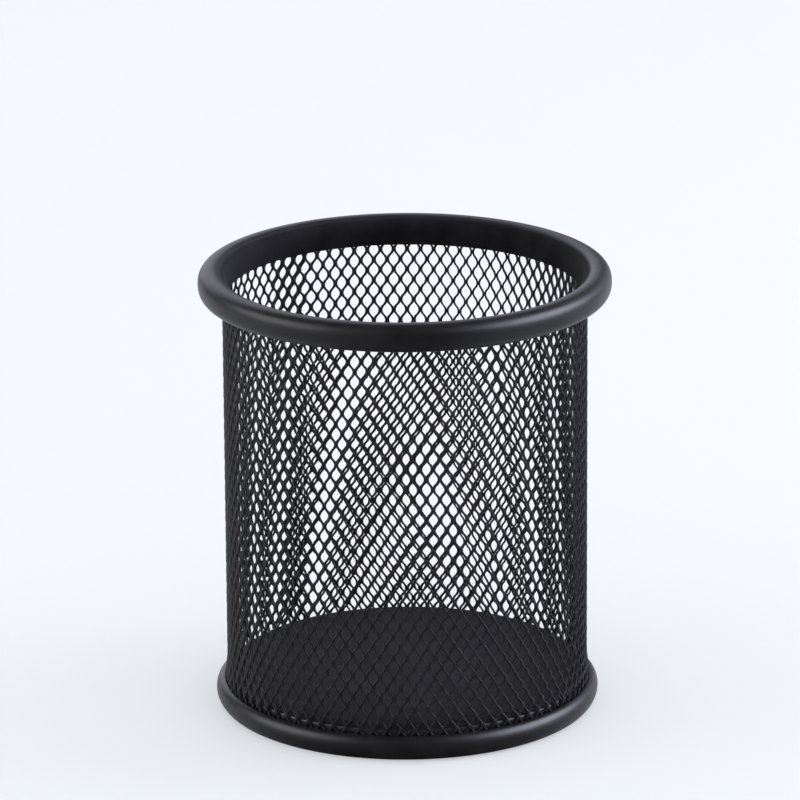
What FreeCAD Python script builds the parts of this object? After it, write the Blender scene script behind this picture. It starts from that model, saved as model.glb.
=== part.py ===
import FreeCAD, Part

# Round pen cup of black expanded-steel mesh.
#
# Four steel pieces, pressed and rolled together: a sleeve of expanded sheet rolled into a
# tube and lapped at a seam, a rolled rim that grips the sleeve's upper edge between a bead
# and an inner skirt, a base plate pressed as a shallow pan, and a bead ring that closes the
# sleeve's foot on the pan's flange.
#
# Millimetres. The origin is the centre of the circle that the cup stands on, +Z up the
# cup's axis, +Y to the back, and +X to the right.

import math
import os

# Overall
CUP_HEIGHT = 100.0
SLEEVE_DIAMETER = 80.3  # outside of the mesh wall
FIT = 0.1  # clearance between pieces that are pressed together

# Expanded-steel sleeve. Diamonds stand upright, with a bond where four strands meet
SHEET_THICKNESS = 0.8  # over the strands
DIAMOND_COLUMNS = 26  # round the wall
DIAMOND_PITCH = 15.5  # bond to bond, up the wall
STRAND_WIDTH = 2.1
SLEEVE_FOOT = 2.0  # lower edge of the sheet, over the floor
SEAM_ANGLE = 135.0  # middle of the lap, round from +X
LAP_COLUMNS = 1  # how many columns of diamonds lie double at the seam
LAP_THICKNESS = 0.6  # of the sheet's outer end, thinned where it is pressed down
LAP_TURN = 1.5  # degrees that the outer end lies out of step with the inner one
LAP_RISE = 1.1  # and how far it lies higher

# Rolled rim
RIM_HEIGHT = 6.3
RIM_PROJECTION = 5.35  # beyond the mesh wall
RIM_ROUND = 2.8  # how far the outer round runs in from the widest circle
THROAT_ROUND = 3.0  # the roll's inner side, between the throat and the rim's top
SKIRT_THICKNESS = 0.5
SLOT_DEPTH = 3.8  # how far the sheet's edge goes up into the rim

# Bead ring at the foot
BEAD_HEIGHT = 5.5
BEAD_PROJECTION = 2.45  # beyond the mesh wall
BEAD_LAND = 0.6  # flat that stands on the floor

# Base plate, a pan with its flange turned down
PLATE_LEVEL = 7.5  # upper face over the floor
PLATE_THICKNESS = 0.6
PLATE_BEVEL = 0.5
FLANGE_FOOT = 1.0  # lower edge of the flange over the floor

# Rolled rounds are drawn as short flats, within 0.1 mm of the true curve
RIM_STEPS = 6
THROAT_STEPS = 3
BEAD_STEPS = 6

# What follows from those sizes
SIDES = 2 * DIAMOND_COLUMNS  # the sheet folds on each line of bonds
WALL_RADIUS = SLEEVE_DIAMETER / 2
INNER_RADIUS = WALL_RADIUS - SHEET_THICKNESS
INNER_FLAT = INNER_RADIUS * math.cos(math.pi / SIDES)  # nearest the axis, between two folds
GRIP_OUT = WALL_RADIUS + FIT
GRIP_IN = INNER_FLAT - FIT
RIM_FOOT = CUP_HEIGHT - RIM_HEIGHT
SLOT_TOP = RIM_FOOT + SLOT_DEPTH
SLEEVE_TOP = SLOT_TOP - FIT


def prism(radius, sides, bottom, top, first=0, last=None):
    """A right prism on a regular polygon, or on the slice between two of its corners."""
    last = sides if last is None else last
    turn = 2 * math.pi / sides
    ring = [
        FreeCAD.Vector(radius * math.cos(k * turn), radius * math.sin(k * turn), bottom)
        for k in range(first, last + 1)
    ]
    if last - first < sides:
        ring.append(FreeCAD.Vector(0, 0, bottom))
        ring.append(ring[0])
    else:
        ring[-1] = ring[0]
    return Part.Face(Part.makePolygon(ring)).extrude(FreeCAD.Vector(0, 0, top - bottom))


def shell(outside, inside, bottom, top, first=0, last=None):
    """A polygonal tube, or a curved panel of it, with a face between each two folds."""
    reach = top - bottom
    core = prism(inside, SIDES, bottom - reach, top + reach, first, last)
    return prism(outside, SIDES, bottom, top, first, last).cut(core)


def diamond(inside, outside):
    """The punch for one opening: an upright diamond at the wall's +X side, at level 0."""
    half_pitch = DIAMOND_PITCH / 2
    half_column = math.pi * WALL_RADIUS / DIAMOND_COLUMNS
    lean = math.atan2(half_column, half_pitch)  # of a strand from the vertical
    half_width = half_column - STRAND_WIDTH / 2 / math.cos(lean)
    half_height = half_pitch - STRAND_WIDTH / 2 / math.sin(lean)
    corners = [(half_width, 0), (0, half_height), (-half_width, 0), (0, -half_height)]
    corners.append(corners[0])
    outline = Part.makePolygon([FreeCAD.Vector(inside, y, z) for y, z in corners])
    return Part.Face(outline).extrude(FreeCAD.Vector(outside - inside, 0, 0))


def punches(inside, outside, first, last, turn=0.0, rise=0.0):
    """Diamonds on the fold lines from first to last, in rows half a pitch apart.

    Every other row is half a column round, so openings keep to folds of their own parity.
    """
    half_pitch = DIAMOND_PITCH / 2
    rows = math.ceil(CUP_HEIGHT / half_pitch) + 1
    one = diamond(inside, outside)
    punched = []
    for row in range(-1, rows):
        for fold in range(first, last):
            if (fold + row) % 2:
                continue
            copy = one.copy()
            copy.translate(FreeCAD.Vector(0, 0, row * half_pitch + rise))
            angle = 360.0 * fold / SIDES + turn
            copy.rotate(FreeCAD.Vector(0, 0, 0), FreeCAD.Vector(0, 0, 1), angle)
            punched.append(copy)
    return Part.makeCompound(punched)


def sleeve():
    """The sheet's single layer, then the outer end of it lapped on over the seam."""
    below, above = INNER_RADIUS - SHEET_THICKNESS, WALL_RADIUS + SHEET_THICKNESS
    tube = shell(WALL_RADIUS, INNER_RADIUS, SLEEVE_FOOT, SLEEVE_TOP)
    tube = tube.cut(punches(below, above, 0, SIDES))

    middle = round(SEAM_ANGLE * SIDES / 360)
    first, last = middle - LAP_COLUMNS, middle + LAP_COLUMNS
    outside = WALL_RADIUS + LAP_THICKNESS
    lap = shell(outside, WALL_RADIUS, BEAD_HEIGHT + FIT, RIM_FOOT - FIT, first, last)
    lap = lap.cut(punches(below, above, first - 1, last + 2, LAP_TURN, LAP_RISE))
    return tube.fuse(lap)


def rounded(centre, reach, start, end, steps):
    """Points of an elliptical round, from one angle to another, in steps flats."""
    points = []
    for k in range(steps + 1):
        angle = math.radians(start + (end - start) * k / steps)
        points.append(
            (centre[0] + reach[0] * math.cos(angle), centre[1] + reach[1] * math.sin(angle))
        )
    return points


def turned(profile):
    """A full turn of a closed profile of (radius, level) points."""
    points = [FreeCAD.Vector(r, 0, z) for r, z in profile]
    face = Part.Face(Part.makePolygon(points + points[:1]))
    return face.revolve(FreeCAD.Vector(0, 0, 0), FreeCAD.Vector(0, 0, 1), 360)


def rim():
    """Throat and skirt inside, bead outside, and a slot between for the sheet's edge."""
    throat = GRIP_IN - SKIRT_THICKNESS
    widest = WALL_RADIUS + RIM_PROJECTION
    half = RIM_HEIGHT / 2
    profile = [(throat, RIM_FOOT)]
    corner = (throat + THROAT_ROUND, CUP_HEIGHT - THROAT_ROUND)
    profile += rounded(corner, (THROAT_ROUND, THROAT_ROUND), 180, 90, THROAT_STEPS)
    bead = (widest - RIM_ROUND, RIM_FOOT + half)
    profile += rounded(bead, (RIM_ROUND, half), 90, -90, RIM_STEPS)
    profile += [(GRIP_OUT, RIM_FOOT), (GRIP_OUT, SLOT_TOP)]
    profile += [(GRIP_IN, SLOT_TOP), (GRIP_IN, RIM_FOOT)]
    return turned(profile)


def base_bead():
    """The ring outside the sleeve's foot: a flat land below, and a round to the wall."""
    widest = WALL_RADIUS + BEAD_PROJECTION
    inner = GRIP_OUT + BEAD_LAND
    half = BEAD_HEIGHT / 2
    profile = [(GRIP_OUT, 0), (GRIP_OUT, BEAD_HEIGHT)]
    profile += rounded((inner, half), (widest - inner, half), 90, -90, BEAD_STEPS)
    return turned(profile)


def base_plate():
    """The pan: a disc with its flange turned down inside the sleeve's foot."""
    inner = GRIP_IN - PLATE_THICKNESS
    under = PLATE_LEVEL - PLATE_THICKNESS
    return turned(
        [
            (0, PLATE_LEVEL),
            (GRIP_IN - PLATE_BEVEL, PLATE_LEVEL),
            (GRIP_IN, PLATE_LEVEL - PLATE_BEVEL),
            (GRIP_IN, FLANGE_FOOT),
            (inner, FLANGE_FOOT),
            (inner, under),
            (0, under),
        ]
    )


PIECES = {
    "mesh_sleeve": sleeve,
    "top_rim": rim,
    "base_bead": base_bead,
    "base_plate": base_plate,
}

os.makedirs("parts", exist_ok=True)
for name, build in PIECES.items():
    build().exportStep(f"parts/{name}.step")
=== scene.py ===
"""Mesh pen cup: a sleeve of expanded steel between a rolled rim and a bead ring, with a pressed base plate.

Metres. The cup stands on the floor at the origin, +Z is up, +Y is the back and +X is the right.
"""

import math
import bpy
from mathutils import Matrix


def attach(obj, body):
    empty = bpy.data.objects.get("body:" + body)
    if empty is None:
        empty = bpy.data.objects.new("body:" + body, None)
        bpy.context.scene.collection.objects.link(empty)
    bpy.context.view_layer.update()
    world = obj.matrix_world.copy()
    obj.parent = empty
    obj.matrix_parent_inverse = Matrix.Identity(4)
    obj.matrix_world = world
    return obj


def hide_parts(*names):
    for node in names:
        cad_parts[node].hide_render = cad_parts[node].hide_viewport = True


bl_info = {
    "name": "Mesh Pen Cup",
    "version": (1, 0, 0),
    "blender": (4, 5, 0),
    "location": "View3D > Sidebar > Pen Cup",
    "description": "Builds a round pen cup of powder-coated expanded steel, and a plain stage for it",
    "category": "Add Mesh",
}

import bmesh
import bpy
from mathutils import Matrix, Vector

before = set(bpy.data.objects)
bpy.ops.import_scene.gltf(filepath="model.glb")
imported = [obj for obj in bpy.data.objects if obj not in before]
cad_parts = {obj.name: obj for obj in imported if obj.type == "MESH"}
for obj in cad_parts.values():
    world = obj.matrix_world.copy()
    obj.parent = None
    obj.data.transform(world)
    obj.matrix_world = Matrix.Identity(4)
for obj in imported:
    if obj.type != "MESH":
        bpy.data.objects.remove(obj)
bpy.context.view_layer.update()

MM = 0.001
CUP_HEIGHT = 100 * MM


# ---------------------------------------------------------------------------
# Sizes and colours
# ---------------------------------------------------------------------------


def length(name, description, default):
    return bpy.props.FloatProperty(
        name=name, description=description, default=default * MM, unit="LENGTH", precision=5
    )


def angle(name, description, default):
    return bpy.props.FloatProperty(
        name=name, description=description, default=math.radians(default), unit="ROTATION"
    )


def colour(name, description, default):
    return bpy.props.FloatVectorProperty(
        name=name,
        description=description,
        subtype="COLOR",
        size=4,
        min=0.0,
        max=1.0,
        default=linear(default),
    )


def linear(code):
    """The scene's linear colour for an sRGB hex code."""
    channels = [int(code[k : k + 2], 16) / 255 for k in (1, 3, 5)]
    return (
        *(c / 12.92 if c <= 0.04045 else ((c + 0.055) / 1.055) ** 2.4 for c in channels),
        1.0,
    )


class CupSleeveSizes(bpy.types.PropertyGroup):
    """Sizes of the expanded-steel sheet and of the tube it is rolled into"""

    radius: length("Wall Radius", "Middle of the sheet, from the cup's axis", 39.75)
    columns: bpy.props.IntProperty(
        name="Columns", description="Columns of openings once round the cup", default=82
    )
    lap: bpy.props.IntProperty(
        name="Lap Columns", description="Columns of openings that lie double at the seam", default=3
    )
    rows: bpy.props.IntProperty(
        name="Rows", description="Rows of bonds from the foot to the rim", default=38
    )
    row_rise: length("Row Rise", "From one row of bonds to the next", 2.385)
    foot: length("Foot", "Lowest row of bonds, over the floor", 4.22)
    strand: length("Strand Width", "Width that the slitting knife leaves", 0.44)
    gauge: length("Gauge", "Thickness of the steel with its coat", 0.52)
    bond: length("Bond Length", "Solid length between two slits", 0.62)
    tilt: angle("Strand Tilt", "How far stretching turns the strands out of the wall", 27.0)
    swell: bpy.props.FloatProperty(
        name="Strand Swell",
        description="How much wider a strand's slanting middle is, measured level",
        default=1.12,
    )
    seam: angle("Seam", "Where the sheet starts, round from the right", 128.1)
    lap_step: length("Lap Step", "How far the outer end of the sheet stands over the inner", 0.66)
    climb: length("Climb", "How far the rows climb in one turn, so the lap lies out of step", 0.12)
    lean: length("Lean", "How far the columns lean round the cup from floor to rim", -0.62)
    drag: length("Drag", "How far the rolls drag the columns on in the first quarter turn", 1.25)
    flare: length("Flare", "How far the foot is pressed outwards into the bead", 0.45)
    flare_height: length("Flare Height", "Height of that flare over the bead", 6.0)


class CupRimSizes(bpy.types.PropertyGroup):
    """Sizes of the rolled rim"""

    height: length("Height", "Over all", 6.3)
    throat: length("Throat Radius", "Inside of the skirt", 38.95)
    widest: length("Widest Radius", "Outside of the roll", 45.48)
    skirt: length("Skirt Thickness", "Of the inner skirt", 0.35)
    grip: length("Grip Radius", "Outer side of the slot for the sheet", 40.45)
    slot: length("Slot Depth", "How far the slot goes up into the rim", 3.8)
    throat_round: length("Throat Round", "Inner half of the roll, from the throat to the top", 3.4)
    shoulder: length("Shoulder Width", "Outer half of the roll, from the top to the side", 3.1)


class CupBeadSizes(bpy.types.PropertyGroup):
    """Sizes of the bead ring at the foot"""

    height: length("Height", "Over all", 5.5)
    widest: length("Widest Radius", "Outside of the roll", 42.6)
    inner: length("Inner Radius", "Side against the sheet", 40.28)
    lip: length("Lip Radius", "Where the round ends on the flared sheet", 40.75)
    land: length("Land Radius", "Outer edge of the flat that stands on the floor", 40.5)
    hook: length("Hook", "How far the strip turns in under the sheet's edge, to the plate", 0.45)


class CupPlateSizes(bpy.types.PropertyGroup):
    """Sizes of the pressed base plate"""

    level: length("Level", "Upper face, over the floor", 7.5)
    radius: length("Radius", "Outside of the turned-down flange", 39.17)
    gauge: length("Gauge", "Thickness of the plate with its coat", 0.6)
    bend: length("Bend", "Outer radius of the bend into the flange", 1.0)
    foot: length("Flange Foot", "Lower edge of the flange, over the floor", 1.0)
    swage: length("Swage", "How far the flange steps out to press the sheet on the bead", 0.6)
    swage_top: length("Swage Top", "Where that step starts, over the floor", 6.6)


class CupFinish(bpy.types.PropertyGroup):
    """Colours of the coats, the floor and the lamps"""

    coat: colour("Coat", "Powder coat, where it is thick", "#100f12")
    coat_thin: colour("Thin Coat", "Powder coat, where it is thin", "#2a282d")
    floor: colour("Floor", "Seamless paper under and behind the cup", "#f4f8fb")
    lamp_left: colour("Left Lamp", "Light of the left soft box", "#faf9ff")
    lamp_right: colour("Right Lamp", "Light of the right soft box", "#e5eafc")


# ---------------------------------------------------------------------------
# Node trees
# ---------------------------------------------------------------------------


def add(tree, kind, inputs=None, **settings):
    """Adds a node. A socket among its inputs is linked, and any other value is set."""
    node = tree.nodes.new(kind)
    for name, value in settings.items():
        setattr(node, name, value)
    for key, value in (inputs or {}).items():
        if isinstance(value, bpy.types.NodeSocket):
            tree.links.new(value, node.inputs[key])
        else:
            node.inputs[key].default_value = value
    return node


def expanded_sheet_tree():
    """The sheet: one bond with two strands, set in staggered rows on the flat, then rolled up."""
    tree = bpy.data.node_groups.new("Expanded Sheet", "GeometryNodeTree")
    tree.interface.new_socket("Geometry", in_out="OUTPUT", socket_type="NodeSocketGeometry")
    for name, kind in (
        ("Wall Radius", "Float"),
        ("Columns", "Int"),
        ("Lap Columns", "Int"),
        ("Rows", "Int"),
        ("Row Rise", "Float"),
        ("Foot", "Float"),
        ("Strand Width", "Float"),
        ("Gauge", "Float"),
        ("Bond Length", "Float"),
        ("Strand Tilt", "Float"),
        ("Strand Swell", "Float"),
        ("Seam", "Float"),
        ("Lap Step", "Float"),
        ("Climb", "Float"),
        ("Lean", "Float"),
        ("Drag", "Float"),
        ("Flare", "Float"),
        ("Flare Foot", "Float"),
        ("Flare Height", "Float"),
        ("Coat", "Material"),
    ):
        tree.interface.new_socket(name, in_out="INPUT", socket_type=f"NodeSocket{kind}")
    given = add(tree, "NodeGroupInput").outputs
    math_node = "ShaderNodeMath"

    # Column pitch, and what a strand covers of it
    half_turn = add(tree, math_node, {0: given["Wall Radius"], 1: math.pi}, operation="MULTIPLY")
    half_pitch = add(tree, math_node, {0: half_turn.outputs[0], 1: given["Columns"]}, operation="DIVIDE")
    pitch = add(tree, math_node, {0: half_pitch.outputs[0], 1: 2.0}, operation="MULTIPLY")
    cosine = add(tree, math_node, {0: given["Strand Tilt"]}, operation="COSINE")
    sine = add(tree, math_node, {0: given["Strand Tilt"]}, operation="SINE")
    half_strand = add(tree, math_node, {0: given["Strand Width"], 1: 0.5}, operation="MULTIPLY")
    across = add(tree, math_node, {0: half_strand.outputs[0], 1: cosine.outputs[0]}, operation="MULTIPLY")
    deep = add(tree, math_node, {0: half_strand.outputs[0], 1: sine.outputs[0]}, operation="MULTIPLY")
    shallow = add(tree, math_node, {0: deep.outputs[0], 1: -1.0}, operation="MULTIPLY")
    reach = add(tree, math_node, {0: half_pitch.outputs[0], 1: across.outputs[0]}, operation="SUBTRACT")
    half_bond = add(tree, math_node, {0: given["Bond Length"], 1: 0.5}, operation="MULTIPLY")
    arrive = add(tree, math_node, {0: given["Row Rise"], 1: half_bond.outputs[0]}, operation="SUBTRACT")
    turn = add(tree, "ShaderNodeCombineXYZ", {"Y": given["Strand Tilt"]})

    # Open-ended boxes: the bond, two strands wide, and a strand in three lengths
    # that is widest in the middle one
    normal = add(tree, "ShaderNodeSeparateXYZ", {0: add(tree, "GeometryNodeInputNormal").outputs[0]})
    facing = add(tree, math_node, {0: normal.outputs["Y"]}, operation="ABSOLUTE")
    is_end = add(tree, "FunctionNodeCompare", {0: facing.outputs[0], 1: 0.5}, operation="GREATER_THAN")
    boxes = []
    for across_count, along_count in ((3, 2), (2, 4)):
        cube = add(
            tree,
            "GeometryNodeMeshCube",
            {"Vertices X": across_count, "Vertices Y": along_count, "Vertices Z": 2},
        )
        boxes.append(
            add(
                tree,
                "GeometryNodeDeleteGeometry",
                {"Geometry": cube.outputs["Mesh"], "Selection": is_end.outputs[0]},
                domain="FACE",
            )
        )
    bond_width = add(tree, math_node, {0: given["Strand Width"], 1: 2.0}, operation="MULTIPLY")
    bond_size = add(
        tree,
        "ShaderNodeCombineXYZ",
        {"X": bond_width.outputs[0], "Y": given["Bond Length"], "Z": given["Gauge"]},
    )
    bond = add(
        tree,
        "GeometryNodeTransform",
        {"Geometry": boxes[0].outputs[0], "Scale": bond_size.outputs[0], "Rotation": turn.outputs[0]},
    )
    place = add(tree, "ShaderNodeSeparateXYZ", {0: add(tree, "GeometryNodeInputPosition").outputs[0]})
    off_middle = add(tree, math_node, {0: place.outputs["Y"]}, operation="ABSOLUTE")
    swell = add(
        tree,
        "ShaderNodeMapRange",
        {"Value": off_middle.outputs[0], 1: 1 / 6, 2: 0.5, 3: given["Strand Swell"], 4: 1.0},
    )
    swollen = add(tree, math_node, {0: place.outputs["X"], 1: swell.outputs[0]}, operation="MULTIPLY")
    swollen_place = add(
        tree,
        "ShaderNodeCombineXYZ",
        {"X": swollen.outputs[0], "Y": place.outputs["Y"], "Z": place.outputs["Z"]},
    )
    strand_box = add(
        tree,
        "GeometryNodeSetPosition",
        {"Geometry": boxes[1].outputs[0], "Position": swollen_place.outputs[0]},
    )
    strand_size = add(
        tree, "ShaderNodeCombineXYZ", {"X": given["Strand Width"], "Y": 1.0, "Z": given["Gauge"]}
    )
    strand = add(
        tree,
        "GeometryNodeTransform",
        {"Geometry": strand_box.outputs[0], "Scale": strand_size.outputs[0], "Rotation": turn.outputs[0]},
    )

    # A strand leaves one half of its bond and bends over to the other half of the next bond
    unit = {"Value": place.outputs["Y"], 1: -0.5, 2: 0.5}
    rise = add(tree, "ShaderNodeMapRange", {**unit, 3: half_bond.outputs[0], 4: arrive.outputs[0]})
    bend = {"interpolation_type": "SMOOTHSTEP"}
    aside = add(tree, "ShaderNodeMapRange", {**unit, 3: across.outputs[0], 4: reach.outputs[0]}, **bend)
    outward = add(tree, "ShaderNodeMapRange", {**unit, 3: shallow.outputs[0], 4: deep.outputs[0]}, **bend)
    unit_parts = [bond.outputs[0]]
    for operation in ("ADD", "SUBTRACT"):
        x = add(tree, math_node, {0: place.outputs["X"], 1: aside.outputs[0]}, operation=operation)
        z = add(tree, math_node, {0: place.outputs["Z"], 1: outward.outputs[0]}, operation=operation)
        bent = add(
            tree, "ShaderNodeCombineXYZ", {"X": x.outputs[0], "Y": rise.outputs[0], "Z": z.outputs[0]}
        )
        moved = add(
            tree, "GeometryNodeSetPosition", {"Geometry": strand.outputs[0], "Position": bent.outputs[0]}
        )
        unit_parts.append(moved.outputs[0])
    knot = add(tree, "GeometryNodeJoinGeometry")
    for part in reversed(unit_parts):
        tree.links.new(part, knot.inputs[0])

    # Staggered rows of bonds on the flat sheet
    count = add(tree, math_node, {0: given["Columns"], 1: given["Lap Columns"]}, operation="ADD")
    last_column = add(tree, math_node, {0: count.outputs[0], 1: 1.0}, operation="SUBTRACT")
    last_row = add(tree, math_node, {0: given["Rows"], 1: 1.0}, operation="SUBTRACT")
    wide = add(tree, math_node, {0: last_column.outputs[0], 1: pitch.outputs[0]}, operation="MULTIPLY")
    tall = add(tree, math_node, {0: last_row.outputs[0], 1: given["Row Rise"]}, operation="MULTIPLY")
    grid = add(
        tree,
        "GeometryNodeMeshGrid",
        {
            "Size X": wide.outputs[0],
            "Size Y": tall.outputs[0],
            "Vertices X": count.outputs[0],
            "Vertices Y": given["Rows"],
        },
    )
    from_side = add(
        tree, math_node, {0: wide.outputs[0], 1: 0.5, 2: place.outputs["X"]}, operation="MULTIPLY_ADD"
    )
    from_foot = add(
        tree, math_node, {0: tall.outputs[0], 1: 0.5, 2: place.outputs["Y"]}, operation="MULTIPLY_ADD"
    )
    row = add(tree, math_node, {0: from_foot.outputs[0], 1: given["Row Rise"]}, operation="DIVIDE")
    whole = add(tree, math_node, {0: row.outputs[0]}, operation="ROUND")
    odd = add(tree, math_node, {0: whole.outputs[0], 1: 2.0}, operation="FLOORED_MODULO")
    staggered = add(
        tree,
        math_node,
        {0: odd.outputs[0], 1: half_pitch.outputs[0], 2: from_side.outputs[0]},
        operation="MULTIPLY_ADD",
    )
    height = add(tree, math_node, {0: from_foot.outputs[0], 1: given["Foot"]}, operation="ADD")
    laid = add(tree, "ShaderNodeCombineXYZ", {"X": staggered.outputs[0], "Y": height.outputs[0]})
    points = add(
        tree, "GeometryNodeSetPosition", {"Geometry": grid.outputs["Mesh"], "Position": laid.outputs[0]}
    )
    knots = add(
        tree,
        "GeometryNodeInstanceOnPoints",
        {"Points": points.outputs[0], "Instance": knot.outputs[0]},
    )
    flat = add(tree, "GeometryNodeRealizeInstances", {"Geometry": knots.outputs[0]})

    # Rolled up round the axis, with the far end stepped out over the near one
    arc = add(tree, math_node, {0: place.outputs["X"], 1: given["Wall Radius"]}, operation="DIVIDE")
    turns = add(tree, math_node, {0: arc.outputs[0], 1: 2 * math.pi}, operation="DIVIDE")
    share = add(tree, math_node, {0: place.outputs["Y"], 1: CUP_HEIGHT}, operation="DIVIDE")
    leaned = add(
        tree,
        math_node,
        {0: share.outputs[0], 1: given["Lean"], 2: place.outputs["X"]},
        operation="MULTIPLY_ADD",
    )
    # The rolls drag the columns apart in the first fifth of the turn, and then they close again
    dragged = add(tree, "ShaderNodeMapRange", {"Value": turns.outputs[0], 1: 0.0, 2: 0.21, 3: -0.5, 4: 1.0})
    eased = add(
        tree,
        "ShaderNodeMapRange",
        {"Value": turns.outputs[0], 1: 0.28, 2: 1.05, 3: 0.0, 4: -1.6},
        interpolation_type="SMOOTHSTEP",
    )
    drag = add(tree, math_node, {0: dragged.outputs[0], 1: eased.outputs[0]}, operation="ADD")
    spread = add(
        tree,
        math_node,
        {0: drag.outputs[0], 1: given["Drag"], 2: leaned.outputs[0]},
        operation="MULTIPLY_ADD",
    )
    spread_arc = add(tree, math_node, {0: spread.outputs[0], 1: given["Wall Radius"]}, operation="DIVIDE")
    around = add(tree, math_node, {0: spread_arc.outputs[0], 1: given["Seam"]}, operation="ADD")
    full = add(tree, math_node, {0: half_turn.outputs[0], 1: 2.0}, operation="MULTIPLY")
    # The sheet steps out over its own start in the last column and a half before the lap
    step_start = add(
        tree, math_node, {0: pitch.outputs[0], 1: -1.5, 2: full.outputs[0]}, operation="MULTIPLY_ADD"
    )
    step = add(
        tree,
        "ShaderNodeMapRange",
        {
            "Value": place.outputs["X"],
            1: step_start.outputs[0],
            2: full.outputs[0],
            3: 0.0,
            4: given["Lap Step"],
        },
        interpolation_type="SMOOTHSTEP",
    )
    flare_top = add(
        tree, math_node, {0: given["Flare Foot"], 1: given["Flare Height"]}, operation="ADD"
    )
    flare = add(
        tree,
        "ShaderNodeMapRange",
        {
            "Value": place.outputs["Y"],
            1: given["Flare Foot"],
            2: flare_top.outputs[0],
            3: given["Flare"],
            4: 0.0,
        },
        interpolation_type="SMOOTHSTEP",
    )
    level = add(tree, math_node, {0: given["Wall Radius"], 1: place.outputs["Z"]}, operation="ADD")
    stepped = add(tree, math_node, {0: level.outputs[0], 1: step.outputs[0]}, operation="ADD")
    radius = add(tree, math_node, {0: stepped.outputs[0], 1: flare.outputs[0]}, operation="ADD")
    climbed = add(
        tree,
        math_node,
        {0: turns.outputs[0], 1: given["Climb"], 2: place.outputs["Y"]},
        operation="MULTIPLY_ADD",
    )
    cos_around = add(tree, math_node, {0: around.outputs[0]}, operation="COSINE")
    sin_around = add(tree, math_node, {0: around.outputs[0]}, operation="SINE")
    x = add(tree, math_node, {0: radius.outputs[0], 1: cos_around.outputs[0]}, operation="MULTIPLY")
    y = add(tree, math_node, {0: radius.outputs[0], 1: sin_around.outputs[0]}, operation="MULTIPLY")
    round_place = add(
        tree, "ShaderNodeCombineXYZ", {"X": x.outputs[0], "Y": y.outputs[0], "Z": climbed.outputs[0]}
    )
    rolled = add(
        tree, "GeometryNodeSetPosition", {"Geometry": flat.outputs[0], "Position": round_place.outputs[0]}
    )
    welded = add(
        tree, "GeometryNodeMergeByDistance", {"Geometry": rolled.outputs[0], "Distance": 0.01 * MM}
    )
    smooth = add(tree, "GeometryNodeSetShadeSmooth", {"Geometry": welded.outputs[0]})
    coated = add(
        tree, "GeometryNodeSetMaterial", {"Geometry": smooth.outputs[0], "Material": given["Coat"]}
    )
    add(tree, "NodeGroupOutput", {0: coated.outputs[0]})
    return tree


def grown(name, tree, values):
    """The plain mesh object that a Geometry Nodes tree makes from these inputs."""
    holder = bpy.data.objects.new(f"{name}_nodes", bpy.data.meshes.new(f"{name}_nodes"))
    bpy.context.scene.collection.objects.link(holder)
    modifier = holder.modifiers.new("Nodes", "NODES")
    modifier.node_group = tree
    for item in tree.interface.items_tree:
        if item.in_out == "INPUT":
            modifier[item.identifier] = values[item.name]
    graph = bpy.context.evaluated_depsgraph_get()
    mesh = bpy.data.meshes.new_from_object(holder.evaluated_get(graph))
    holder.modifiers.remove(modifier)
    bpy.data.objects.remove(holder)
    mesh.name = name
    piece = bpy.data.objects.new(name, mesh)
    bpy.context.scene.collection.objects.link(piece)
    return piece


# ---------------------------------------------------------------------------
# Finishes
# ---------------------------------------------------------------------------


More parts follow.
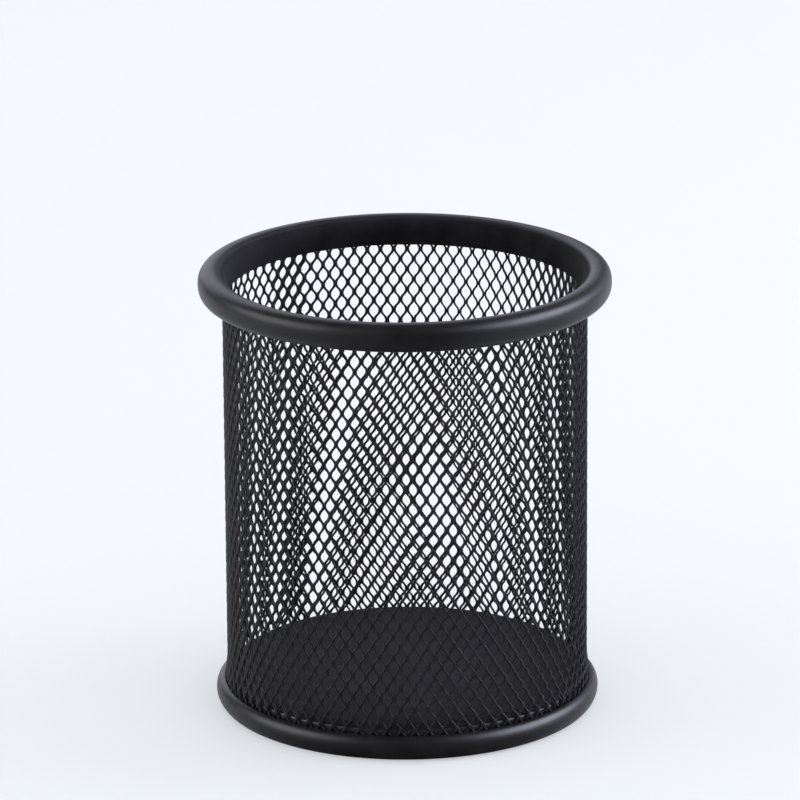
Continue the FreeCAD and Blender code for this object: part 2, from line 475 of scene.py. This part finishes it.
def powder_coat(
    name, finish, thin, gloss, shine=0.3, peel=1.3, peel_depth=0.012, grain_depth=0.006, dull_and_shaded_inside=0.0
):
    """Black epoxy powder coat on steel, sprayed dry and baked.

    It melts into a closed satin skin. Orange peel breaks up its highlights, fine grain dulls
    them, and where the coat is thin it looks a little greyer: thin gives the least and the most
    of that, and gloss the least and the most roughness. The peel's width and both depths are in
    millimetres. Inside the given radius the skin is rougher, with painted shade in its reflections.
    """
    material = bpy.data.materials.new(name)
    material.use_nodes = True
    tree = material.node_tree
    tree.nodes.clear()
    place = add(tree, "ShaderNodeTexCoord").outputs["Object"]
    # Cloudy change in the coat's thickness, about 7 mm across
    cloud = add(tree, "ShaderNodeTexNoise", {"Vector": place, "Scale": 1 / (7 * MM), "Detail": 2.0})
    thinness = add(
        tree, "ShaderNodeMapRange", {"Value": cloud.outputs[0], 1: 0.35, 2: 0.65, 3: thin[0], 4: thin[1]}
    )
    shade = add(
        tree,
        "ShaderNodeMix",
        {0: thinness.outputs[0], 6: finish.coat, 7: finish.coat_thin},
        data_type="RGBA",
    )
    # Orange peel, as wide as the melting coat draws itself together
    waves = add(tree, "ShaderNodeTexNoise", {"Vector": place, "Scale": 1 / (peel * MM), "Detail": 1.0})
    # Grain of the powder, about 0.2 mm, drawn coarser than the real 0.05 mm so that it shows
    grain = add(tree, "ShaderNodeTexNoise", {"Vector": place, "Scale": 1 / (0.2 * MM), "Detail": 2.0})
    rough = add(
        tree, "ShaderNodeMapRange", {"Value": grain.outputs[0], 1: 0.3, 2: 0.7, 3: gloss[0], 4: gloss[1]}
    )
    painted_shade_tint = (1.0, 1.0, 1.0, 1.0)
    if dull_and_shaded_inside:
        # Distance from the cup's axis, over which the dull skin with its painted shade turns satin within 1
        # mm
        level = add(tree, "ShaderNodeVectorMath", {0: place, 1: (1.0, 1.0, 0.0)}, operation="MULTIPLY")
        radius = add(tree, "ShaderNodeVectorMath", {0: level.outputs[0]}, operation="LENGTH")
        edge = {"Value": radius.outputs["Value"], 1: dull_and_shaded_inside, 2: dull_and_shaded_inside + 1.0 * MM}
        step = {"interpolation_type": "SMOOTHSTEP"}
        rough = add(tree, "ShaderNodeMapRange", {**edge, 3: 0.8, 4: rough.outputs[0]}, **step)
        # Painted shade: inside the radius the reflections are dimmed to 0.15, as if the hollow were in
        # shade
        painted_shade_tint = add(tree, "ShaderNodeMapRange", {**edge, 3: 0.15, 4: 1.0}, **step).outputs[0]
    skin = add(
        tree, "ShaderNodeBump", {"Height": waves.outputs[0], "Strength": 1.0, "Distance": peel_depth * MM}
    )
    skin = add(
        tree,
        "ShaderNodeBump",
        {
            "Height": grain.outputs[0],
            "Strength": 1.0,
            "Distance": grain_depth * MM,
            "Normal": skin.outputs[0],
        },
    )
    shader = add(
        tree,
        "ShaderNodeBsdfPrincipled",
        {
            "Base Color": shade.outputs[2],
            "Roughness": rough.outputs[0],
            "IOR": 1.5,
            "Specular IOR Level": shine,
            "Specular Tint": painted_shade_tint,
            "Normal": skin.outputs[0],
        },
    )
    add(tree, "ShaderNodeOutputMaterial", {"Surface": shader.outputs[0]})
    return material


def seamless_paper(colour_value):
    """Matt studio paper with light behind it: it takes the cup's shadow, pale, and has no shine.

    To glossy rays the paper turns a painted grey towards the front: a painted reflection that darkens the
    front of the cup's coat.
    """
    material = bpy.data.materials.new("seamless_paper")
    material.use_nodes = True
    tree = material.node_tree
    tree.nodes.clear()
    place = add(tree, "ShaderNodeTexCoord").outputs["Object"]
    round_cup = add(tree, "ShaderNodeVectorMath", {0: place}, operation="NORMALIZE")
    bearing = add(tree, "ShaderNodeSeparateXYZ", {0: round_cup.outputs[0]})
    front = add(tree, "ShaderNodeMapRange", {"Value": bearing.outputs["Y"], 1: -0.5, 2: -0.95})
    path = add(tree, "ShaderNodeLightPath").outputs
    times = {"operation": "MULTIPLY"}
    # Painted reflection: towards the front, glossy rays see a grey instead of the lit paper
    painted_reflection_mask = add(tree, "ShaderNodeMath", {0: front.outputs[0], 1: path["Is Glossy Ray"]}, **times)
    seen = add(tree, "ShaderNodeMath", {0: path["Is Camera Ray"], 1: 0.45}, **times)
    paper = add(
        tree,
        "ShaderNodeBsdfPrincipled",
        {"Base Color": colour_value, "Roughness": 0.9, "Specular IOR Level": 0.2},
    )
    glow = add(tree, "ShaderNodeEmission", {"Color": colour_value, "Strength": 1.0})
    lit = add(tree, "ShaderNodeMixShader", {0: seen.outputs[0], 1: paper.outputs[0], 2: glow.outputs[0]})
    painted_reflection_grey = add(tree, "ShaderNodeBsdfDiffuse", {"Color": linear("#7b7b80")})
    mixed = add(tree, "ShaderNodeMixShader", {0: painted_reflection_mask.outputs[0], 1: lit.outputs[0], 2: painted_reflection_grey.outputs[0]})
    add(tree, "ShaderNodeOutputMaterial", {"Surface": mixed.outputs[0]})
    return material


# ---------------------------------------------------------------------------
# Turned pieces
# ---------------------------------------------------------------------------


def rounded(centre, reach, start, end, steps, fullness=2.0):
    """Points of an elliptical round, from start to end in degrees. Fullness over 2 squares it."""
    points = []
    for k in range(steps + 1):
        turn = math.radians(start + (end - start) * k / steps)
        cos, sin = math.cos(turn), math.sin(turn)
        points.append(
            (
                centre[0] + reach[0] * math.copysign(abs(cos) ** (2 / fullness), cos),
                centre[1] + reach[1] * math.copysign(abs(sin) ** (2 / fullness), sin),
            )
        )
    return points


def turned(name, profile, material, segments=256):
    """A smooth ring or disc: a closed profile of (radius, level), run anticlockwise, turned once."""
    mesh = bmesh.new()
    rings = []
    for radius, level in profile:
        if radius < 1e-9:
            rings.append([mesh.verts.new((0, 0, level))] * segments)
            continue
        rings.append(
            [
                mesh.verts.new(
                    (
                        radius * math.cos(2 * math.pi * k / segments),
                        radius * math.sin(2 * math.pi * k / segments),
                        level,
                    )
                )
                for k in range(segments)
            ]
        )
    for here, there in zip(rings, rings[1:] + rings[:1]):
        for k in range(segments):
            corners = [here[k], here[(k + 1) % segments], there[(k + 1) % segments], there[k]]
            corners = list(dict.fromkeys(corners))
            if len(corners) > 2:
                mesh.faces.new(corners).smooth = True
    bmesh.ops.recalc_face_normals(mesh, faces=mesh.faces)
    # Turns sharper than 40 degrees stay crisp
    for edge in mesh.edges:
        edge.smooth = edge.calc_face_angle(0.0) < math.radians(40)
    data = bpy.data.meshes.new(name)
    mesh.to_mesh(data)
    mesh.free()
    data.materials.append(material)
    piece = bpy.data.objects.new(name, data)
    bpy.context.scene.collection.objects.link(piece)
    return piece


def towards(azimuth, elevation):
    """The unit vector that way, in degrees round from the right and up from level."""
    turn, lift = math.radians(azimuth), math.radians(elevation)
    return Vector((math.cos(lift) * math.cos(turn), math.cos(lift) * math.sin(turn), math.sin(lift)))


def stand_for(piece, node):
    """The piece is shown instead of the CAD node and rides with the cup."""
    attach(piece, "root")
    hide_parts(node)


# ---------------------------------------------------------------------------
# Operators
# ---------------------------------------------------------------------------


class AddSleeve(bpy.types.Operator):
    """Rolls the sleeve from a sheet of expanded steel, with its lapped seam"""

    bl_idname = "pen_cup.add_sleeve"
    bl_label = "Add Mesh Sleeve"

    def execute(self, context):
        sizes, bead = context.scene.cup_sleeve, context.scene.cup_bead
        finish = context.scene.cup_finish
        coat = powder_coat(
            "powder_coated_mesh", finish, (0.2, 0.5), (0.46, 0.58), shine=0.25, peel=0.9, peel_depth=0.010
        )
        sleeve = grown(
            "expanded_sleeve",
            expanded_sheet_tree(),
            {
                "Wall Radius": sizes.radius,
                "Columns": sizes.columns,
                "Lap Columns": sizes.lap,
                "Rows": sizes.rows,
                "Row Rise": sizes.row_rise,
                "Foot": sizes.foot,
                "Strand Width": sizes.strand,
                "Gauge": sizes.gauge,
                "Bond Length": sizes.bond,
                "Strand Tilt": sizes.tilt,
                "Strand Swell": sizes.swell,
                "Seam": sizes.seam,
                "Lap Step": sizes.lap_step,
                "Climb": sizes.climb,
                "Lean": sizes.lean,
                "Drag": sizes.drag,
                "Flare": sizes.flare,
                "Flare Foot": bead.height,
                "Flare Height": sizes.flare_height,
                "Coat": coat,
            },
        )
        # The sheet is cut through its strands, so their ends are closed
        mesh = bmesh.new()
        mesh.from_mesh(sleeve.data)
        bmesh.ops.holes_fill(mesh, edges=[e for e in mesh.edges if e.is_boundary], sides=0)
        bmesh.ops.recalc_face_normals(mesh, faces=mesh.faces)
        if mesh.calc_volume(signed=True) < 0:
            bmesh.ops.reverse_faces(mesh, faces=mesh.faces)
        mesh.to_mesh(sleeve.data)
        mesh.free()
        stand_for(sleeve, "mesh_sleeve")
        return {"FINISHED"}


class AddRim(bpy.types.Operator):
    """Turns the rolled rim that grips the sleeve's upper edge"""

    bl_idname = "pen_cup.add_rim"
    bl_label = "Add Rolled Rim"

    def execute(self, context):
        sizes = context.scene.cup_rim
        finish = context.scene.cup_finish
        # Painted shade: reflections are dimmed on the skirt and the inner side of the roll
        coat = powder_coat(
            "powder_coated_rim", finish, (0.0, 0.3), (0.36, 0.46), dull_and_shaded_inside=sizes.throat + 1.25 * MM
        )
        foot = CUP_HEIGHT - sizes.height
        inner, half = sizes.throat_round, sizes.height / 2
        skirt_outside = sizes.throat + sizes.skirt
        slot_top = foot + sizes.slot
        edge = 0.15 * MM  # taken off the corners of the sheared strip
        profile = [(sizes.throat, foot + edge)]
        profile += rounded((sizes.throat + inner, CUP_HEIGHT - inner), (inner, inner), 180, 90, 20)
        profile += rounded(
            (sizes.widest - sizes.shoulder, foot + half), (sizes.shoulder, half), 90, -90, 40, fullness=2.4
        )
        profile += [(sizes.grip + edge, foot), (sizes.grip, foot + edge), (sizes.grip, slot_top)]
        profile += [(skirt_outside, slot_top), (skirt_outside, foot + edge)]
        profile += [(skirt_outside - edge, foot), (sizes.throat + edge, foot)]
        stand_for(turned("rolled_rim", profile, coat), "top_rim")
        return {"FINISHED"}


class AddBead(bpy.types.Operator):
    """Turns the bead ring that the cup stands on"""

    bl_idname = "pen_cup.add_bead"
    bl_label = "Add Base Bead"

    def execute(self, context):
        sizes = context.scene.cup_bead
        coat = powder_coat("powder_coated_bead", context.scene.cup_finish, (0.0, 0.3), (0.34, 0.44))
        middle = 0.54 * sizes.height  # the roll is fullest a little above half its height
        over, under = sizes.widest - sizes.lip, sizes.widest - sizes.land
        hooked = sizes.inner - sizes.hook
        profile = [(hooked, 0.0), (hooked, middle), (sizes.inner, middle), (sizes.lip, sizes.height)]
        profile += rounded((sizes.lip, middle), (over, sizes.height - middle), 90, 0, 16)[1:]
        profile += rounded((sizes.land, middle), (under, middle), 0, -90, 20, fullness=1.8)[1:]
        stand_for(turned("base_bead_ring", profile, coat), "base_bead")
        return {"FINISHED"}


class AddPlate(bpy.types.Operator):
    """Presses the base plate, with its flange turned down inside the sleeve"""

    bl_idname = "pen_cup.add_plate"
    bl_label = "Add Base Plate"

    def execute(self, context):
        sizes = context.scene.cup_plate
        # Painted shade: reflections are dimmed over the plate's top, while the swage stays satin
        coat = powder_coat(
            "powder_coated_plate",
            context.scene.cup_finish,
            (0.6, 1.0),
            (0.30, 0.40),
            peel=1.6,
            grain_depth=0.010,
            dull_and_shaded_inside=sizes.radius - 0.37 * MM,
        )
        bend, swage = sizes.bend, sizes.swage
        inner, under = sizes.radius - sizes.gauge, sizes.level - sizes.gauge
        inner_bend = max(bend - sizes.gauge, 0.1 * MM)
        profile = [(0.0, sizes.level), (sizes.radius / 2, sizes.level)]
        profile += rounded((sizes.radius - bend, sizes.level - bend), (bend, bend), 90, 0, 8)
        profile += rounded((sizes.radius, sizes.swage_top - swage), (swage, swage), 90, 0, 6)
        profile += [(sizes.radius + swage, sizes.foot), (inner, sizes.foot)]
        profile += rounded(
            (inner - inner_bend, under - inner_bend), (inner_bend, inner_bend), 0, 90, 5
        )
        profile += [(0.0, under)]
        plate = turned("pressed_base_plate", profile, coat)
        stand_for(plate, "base_plate")
        return {"FINISHED"}


class AddStage(bpy.types.Operator):
    """Lays the paper floor and sets two soft boxes, the surroundings and the camera"""

    bl_idname = "pen_cup.add_stage"
    bl_label = "Add Stage"

    def execute(self, context):
        finish = context.scene.cup_finish
        self.lay_floor(finish)
        self.set_lamp("soft_box_right", finish.lamp_right, power=5.2, azimuth=12.0, elevation=38.0)
        self.set_lamp("soft_box_left", finish.lamp_left, power=1.8, azimuth=192.0, elevation=30.0)
        self.surround(context.scene, finish)
        self.aim_camera(context.scene)
        context.scene.view_settings.view_transform = "Standard"
        return {"FINISHED"}

    def lay_floor(self, finish):
        mesh = bmesh.new()
        bmesh.ops.create_grid(mesh, x_segments=8, y_segments=8, size=4.0)
        data = bpy.data.meshes.new("paper_floor")
        mesh.to_mesh(data)
        mesh.free()
        data.materials.append(seamless_paper(finish.floor))
        floor = bpy.data.objects.new("paper_floor", data)
        bpy.context.scene.collection.objects.link(floor)

    def set_lamp(self, name, lamp_colour, power, azimuth, elevation):
        """A square soft box 1.3 m from the cup, facing it. The world holds the one that is mirrored."""
        lamp = bpy.data.lights.new(name, "AREA")
        lamp.shape = "SQUARE"
        lamp.size = 0.75
        lamp.energy = power
        lamp.color = lamp_colour[:3]
        holder = bpy.data.objects.new(name, lamp)
        away = towards(azimuth, elevation)
        holder.location = away * 1.3 + Vector((0, 0, 0.05))
        holder.rotation_euler = away.to_track_quat("Z", "Y").to_euler()
        holder.visible_glossy = False
        bpy.context.scene.collection.objects.link(holder)

    def surround(self, scene, finish):
        """Pale paper all round. The coat mirrors a dim surround, two soft boxes and two lit parts behind.
        """
        world = bpy.data.worlds.new("studio")
        scene.world = world
        world.use_nodes = True
        tree = world.node_tree
        tree.nodes.clear()
        way = add(tree, "ShaderNodeTexCoord").outputs["Generated"]
        path = add(tree, "ShaderNodeLightPath")
        mirrored = add(
            tree,
            "ShaderNodeMath",
            {0: path.outputs["Is Glossy Ray"], 1: path.outputs["Is Transmission Ray"]},
            operation="MAXIMUM",
        )
        unseen = add(
            tree, "ShaderNodeMix", {0: mirrored.outputs[0], 2: 0.92, 3: 0.18}, data_type="FLOAT"
        )
        strength = add(
            tree,
            "ShaderNodeMix",
            {0: path.outputs["Is Camera Ray"], 2: unseen.outputs[0], 3: 1.0},
            data_type="FLOAT",
        )
        air = {"Color": linear("#f8f7f8"), "Strength": strength.outputs[0]}
        light = add(tree, "ShaderNodeBackground", air)
        sweep = linear("#e6e9f8")
        mirrored_parts = (
            (0.0, 31.5, 0.68, 14.5, finish.lamp_right),
            (191.0, 27.0, 0.68, 5.2, finish.lamp_left),
            (106.0, 18.0, 0.46, 1.8, sweep),
            (58.0, 14.0, 0.4, 0.7, sweep),
        )
        for azimuth, elevation, width, power, hue in mirrored_parts:
            away = towards(azimuth, elevation)
            facing = away.to_track_quat("Z", "Y").to_euler()
            spread = {"Vector": way, "Location": away, "Rotation": facing, "Scale": (width, 0.5, 1.0)}
            spot = add(tree, "ShaderNodeMapping", spread, vector_type="TEXTURE")
            inside = add(tree, "ShaderNodeTexGradient", {0: spot.outputs[0]}, gradient_type="SPHERICAL")
            soft = {"Value": inside.outputs["Fac"], 1: 0.0, 2: 0.6, 3: 0.0, 4: power}
            lobe = add(tree, "ShaderNodeMapRange", soft, interpolation_type="SMOOTHSTEP")
            both = {0: lobe.outputs[0], 1: mirrored.outputs[0]}
            shown = add(tree, "ShaderNodeMath", both, operation="MULTIPLY")
            panel = add(tree, "ShaderNodeBackground", {"Color": hue, "Strength": shown.outputs[0]})
            light = add(tree, "ShaderNodeAddShader", {0: light.outputs[0], 1: panel.outputs[0]})
        add(tree, "ShaderNodeOutputWorld", {"Surface": light.outputs[0]})

    def aim_camera(self, scene):
        """A long lens 1.45 m off, looking 17.6 degrees down, with the least bit of roll."""
        lens = bpy.data.cameras.new("camera")
        lens.lens = 291.85
        lens.sensor_width = 36.0
        lens.clip_start = 0.05
        lens.clip_end = 50.0
        camera = bpy.data.objects.new("camera", lens)
        pan = Matrix.Rotation(math.radians(0.051), 4, "Z")
        tip = Matrix.Rotation(math.radians(90 - 17.616), 4, "X")
        roll = Matrix.Rotation(math.radians(-0.3827), 4, "Z")
        camera.matrix_world = Matrix.Translation((0, -1.36461, 0.50267)) @ pan @ tip @ roll
        scene.collection.objects.link(camera)
        scene.camera = camera


OPERATORS = (AddSleeve, AddRim, AddBead, AddPlate, AddStage)


class CupPanel(bpy.types.Panel):
    """Lists what the pen cup is built from"""

    bl_idname = "VIEW3D_PT_pen_cup"
    bl_label = "Mesh Pen Cup"
    bl_space_type = "VIEW_3D"
    bl_region_type = "UI"
    bl_category = "Pen Cup"

    def draw(self, context):
        for operator in OPERATORS:
            self.layout.operator(operator.bl_idname)


GROUPS = {
    "cup_sleeve": CupSleeveSizes,
    "cup_rim": CupRimSizes,
    "cup_bead": CupBeadSizes,
    "cup_plate": CupPlateSizes,
    "cup_finish": CupFinish,
}


def register():
    for cls in (*GROUPS.values(), *OPERATORS, CupPanel):
        bpy.utils.register_class(cls)
    for name, cls in GROUPS.items():
        setattr(bpy.types.Scene, name, bpy.props.PointerProperty(type=cls))


def unregister():
    for name in GROUPS:
        delattr(bpy.types.Scene, name)
    for cls in reversed((*GROUPS.values(), *OPERATORS, CupPanel)):
        bpy.utils.unregister_class(cls)


def main():
    register()
    bpy.ops.pen_cup.add_sleeve()
    bpy.ops.pen_cup.add_rim()
    bpy.ops.pen_cup.add_bead()
    bpy.ops.pen_cup.add_plate()
    bpy.ops.pen_cup.add_stage()


if __name__ == "__main__":
    main()
